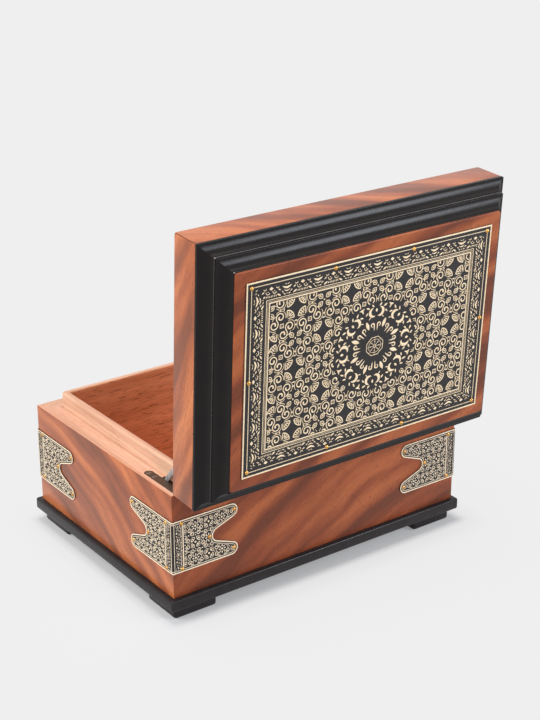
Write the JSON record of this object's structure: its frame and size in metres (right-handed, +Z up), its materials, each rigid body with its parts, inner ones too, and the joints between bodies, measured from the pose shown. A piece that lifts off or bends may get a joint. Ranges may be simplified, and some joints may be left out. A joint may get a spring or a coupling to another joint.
{
  "type": "cigar humidor",
  "caption": "Veneered wooden cigar humidor with cedar lining, hinged lid held open by quadrant hinges, black moulding and plinth, ornamented corner brackets and lid plate.",
  "frame": {"origin": "on the surface that the feet stand on, under the middle of the open box's bounding box", "axes": "+Z up, +Y towards the hinged back, +X to the right of a person facing the front"},
  "size_m": [0.309, 0.2874, 0.3343],
  "materials": {
    "veneer": "satin lacquer over figured red-brown veneer",
    "cedar": "bare planed cedar",
    "ebonised_wood": "satin black lacquer",
    "damascene": "dark satin ground with raised pale gold lines",
    "pale_gold": "satin pale gold of the raised ornament",
    "hinge_bronze": "antiqued bronze",
    "steel": "brushed",
    "brass": "polished",
    "lens_glass": "clear",
    "dial": "printed card",
    "black_plastic": "moulded satin",
    "foam": "open-cell floral foam"
  },
  "bodies": {
    "chest": {"wall_front": "veneer", "wall_back": "veneer", "wall_left": "veneer", "wall_right": "veneer", "bottom_board": "cedar", "lining_front": "cedar", "lining_back": "cedar", "lining_left": "cedar", "lining_right": "cedar", "lining_floor": "cedar", "plinth_board": "ebonised_wood", "foot_front_left": "ebonised_wood", "foot_front_right": "ebonised_wood", "foot_back_left": "ebonised_wood", "foot_back_right": "ebonised_wood", "bracket_front_left": "damascene", "bracket_front_right": "damascene", "bracket_back_left": "damascene", "bracket_back_right": "damascene", "hinge_leaf_chest_left": "hinge_bronze", "hinge_leaf_chest_right": "hinge_bronze", "hinge_pin_left": "steel", "hinge_pin_right": "steel", "screw_chest_left_1": "steel", "screw_chest_left_2": "steel", "screw_chest_right_1": "steel", "screw_chest_right_2": "steel"},
    "lid": {"lid_wall_front": "veneer", "lid_wall_back": "veneer", "lid_wall_left": "veneer", "lid_wall_right": "veneer", "lid_board": "cedar", "lid_lining": "cedar", "moulding_front": "ebonised_wood", "moulding_back": "ebonised_wood", "moulding_left": "ebonised_wood", "moulding_right": "ebonised_wood", "raised_panel": "veneer", "ornament_plate": "damascene", "hinge_leaf_lid_left": "hinge_bronze", "hinge_leaf_lid_right": "hinge_bronze", "screw_lid_left_1": "steel", "screw_lid_left_2": "steel", "screw_lid_right_1": "steel", "screw_lid_right_2": "steel", "hygrometer_case": "brass", "hygrometer_bezel": "brass", "hygrometer_lens": "lens_glass", "hygrometer_dial": "dial", "humidifier_keeper": "steel"},
    "strut_left": {"hinge_strut_left": "steel"},
    "strut_right": {"hinge_strut_right": "steel"},
    "needle": {"hygrometer_needle": "steel"},
    "humidifier": {"humidifier_case": "black_plastic", "humidifier_grille": "black_plastic", "humidifier_foam": "foam", "humidifier_magnet_left": "steel", "humidifier_magnet_right": "steel"}
  },
  "joints": [
    {"name": "lid_hinge", "type": "hinge", "parent": "chest", "child": "lid", "pos_m": [0, 0.08178, 0.11365], "axis": [1, 0, 0], "range_deg": [0, 93.1]},
    {"name": "strut_left_turn", "type": "hinge", "parent": "chest", "child": "strut_left", "pos_m": [-0.1367, 0.08178, 0.11365], "axis": [1, 0, 0], "range_deg": [0, 46.55]},
    {"name": "strut_right_turn", "type": "hinge", "parent": "chest", "child": "strut_right", "pos_m": [0.1367, 0.08178, 0.11365], "axis": [1, 0, 0], "range_deg": [0, 46.55]},
    {"name": "needle_turn", "type": "hinge", "parent": "lid", "child": "needle", "pos_m": [0.076, 0.10632, 0.22373], "axis": [0, 0.9985, -0.0541], "range_deg": [-189, 81], "stiffness_Nm_per_rad": 0.0001},
    {"name": "humidifier_pull", "type": "slide", "parent": "lid", "child": "humidifier", "axis": [0, -0.9985, 0.0541], "range_m": [0, 0.03]}
  ],
  "couplings": [
    {"joint": "strut_left_turn", "follows": "lid_hinge", "ratio": 0.5},
    {"joint": "strut_right_turn", "follows": "lid_hinge", "ratio": 0.5}
  ]
}
